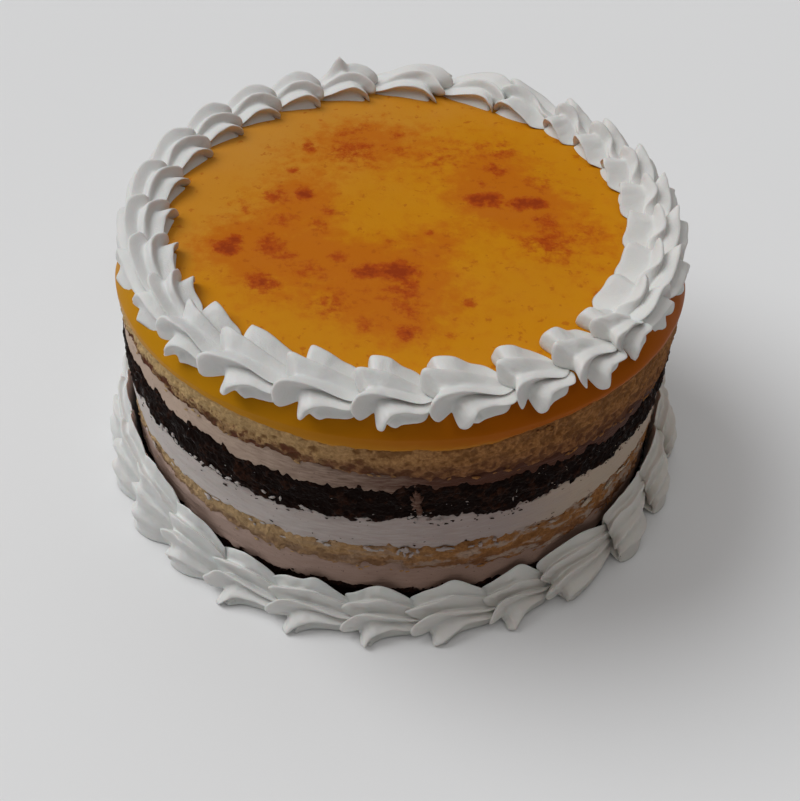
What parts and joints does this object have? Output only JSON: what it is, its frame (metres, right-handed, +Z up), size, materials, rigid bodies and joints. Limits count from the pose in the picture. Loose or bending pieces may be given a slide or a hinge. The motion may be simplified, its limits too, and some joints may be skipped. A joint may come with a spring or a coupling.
{
  "type": "san marcos layer cake",
  "caption": "Round layer cake of chocolate and vanilla sponge with cream fillings, a toasted egg-yolk custard top and piped shell borders round its top edge and foot.",
  "frame": {"origin": "middle of the underside, on the plane the cake stands on", "axes": "+Z up; -Y is the side seen in the picture; +X is to the right in the picture. The layers lean a little down towards +X"},
  "size_m": [0.2008, 0.2006, 0.1001],
  "materials": {
    "chocolate_sponge": "matte",
    "vanilla_sponge": "matte",
    "cocoa_cream": "satin",
    "whipped_cream": "satin",
    "yolk_custard": "gloss"
  },
  "bodies": {
    "root": {"chocolate_sponge_base": "chocolate_sponge", "cocoa_cream_lower": "cocoa_cream", "vanilla_sponge_lower": "vanilla_sponge", "whipped_cream_layer": "whipped_cream", "chocolate_sponge_middle": "chocolate_sponge", "cocoa_cream_upper": "cocoa_cream", "vanilla_sponge_upper": "vanilla_sponge", "egg_yolk_topping": "yolk_custard", "top_border": "whipped_cream", "bottom_border": "whipped_cream"}
  },
  "joints": []
}
